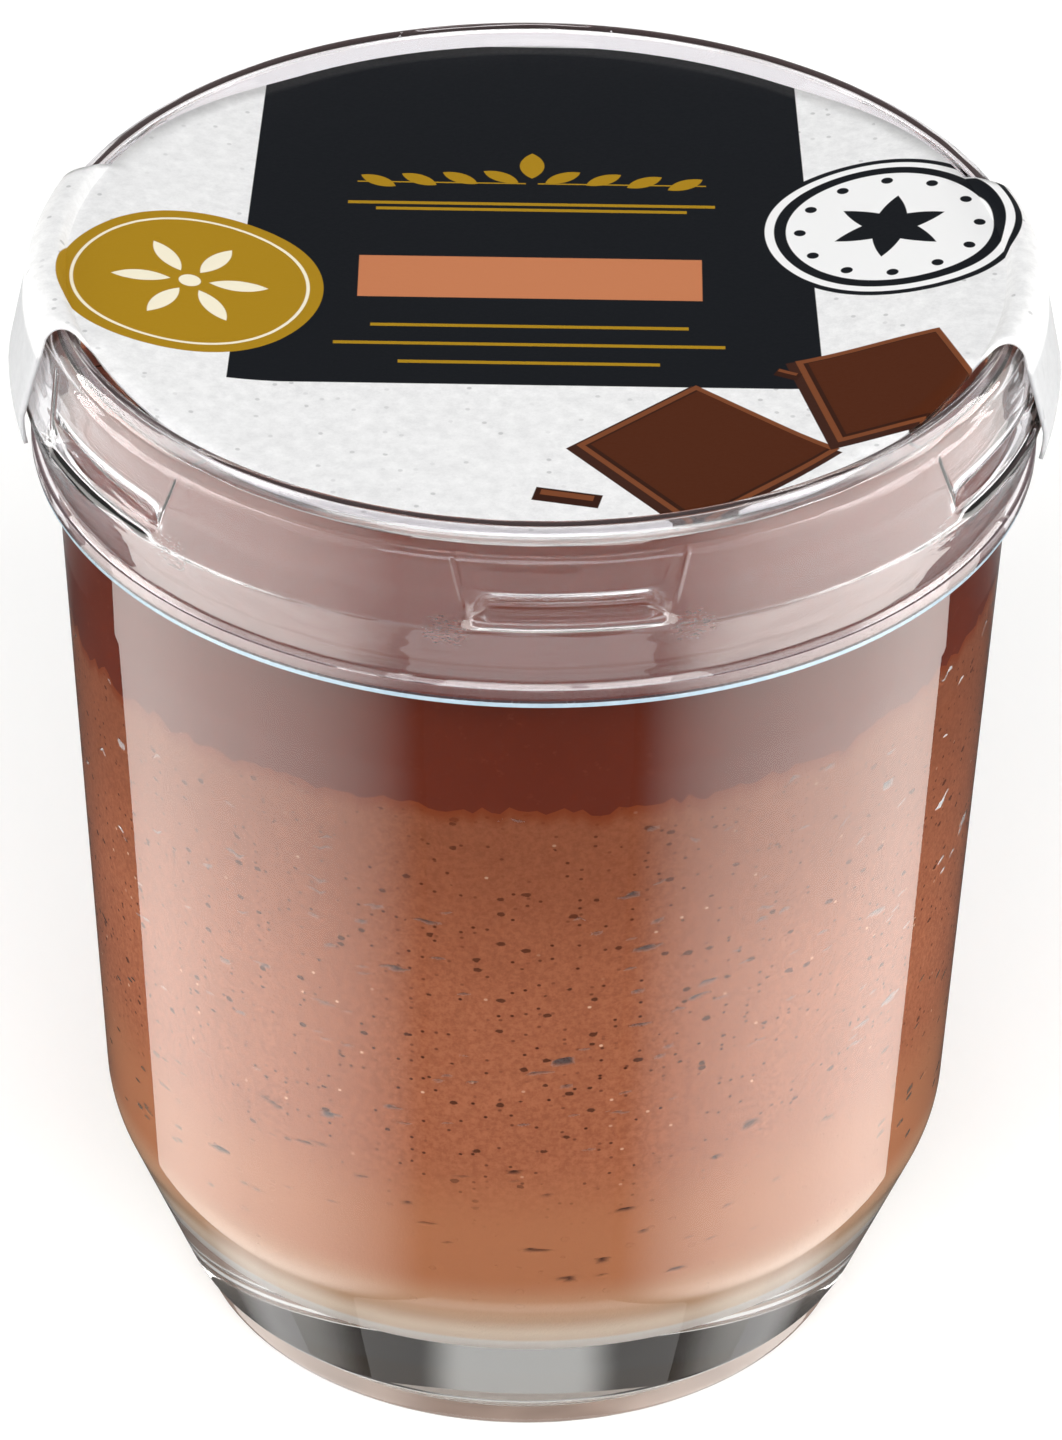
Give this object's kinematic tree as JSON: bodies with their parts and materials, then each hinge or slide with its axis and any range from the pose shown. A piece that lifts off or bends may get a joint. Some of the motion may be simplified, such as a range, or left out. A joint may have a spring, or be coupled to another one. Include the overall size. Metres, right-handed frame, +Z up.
{
  "type": "chocolate mousse dessert in a lidded glass",
  "caption": "Layered chocolate mousse and sauce in a clear glass tumbler with a clear press-fit lid and a paper label.",
  "frame": {"origin": "centre of the glass's foot, on the surface it stands on", "axes": "+Z up along the glass's axis; the label's wings point along +X and -X; -Y is the front that the picture shows"},
  "size_m": [0.0738, 0.0724, 0.0852],
  "materials": {
    "glass": "clear, polished",
    "mousse": "aerated, matte",
    "sauce": "smooth, dark",
    "lid_plastic": "clear thin plastic",
    "label": "coated paper, printed"
  },
  "bodies": {
    "root": {"glass_tumbler": "glass", "chocolate_mousse": "mousse", "chocolate_sauce": "sauce", "snap_lid": "lid_plastic", "paper_label": "label"}
  },
  "joints": []
}
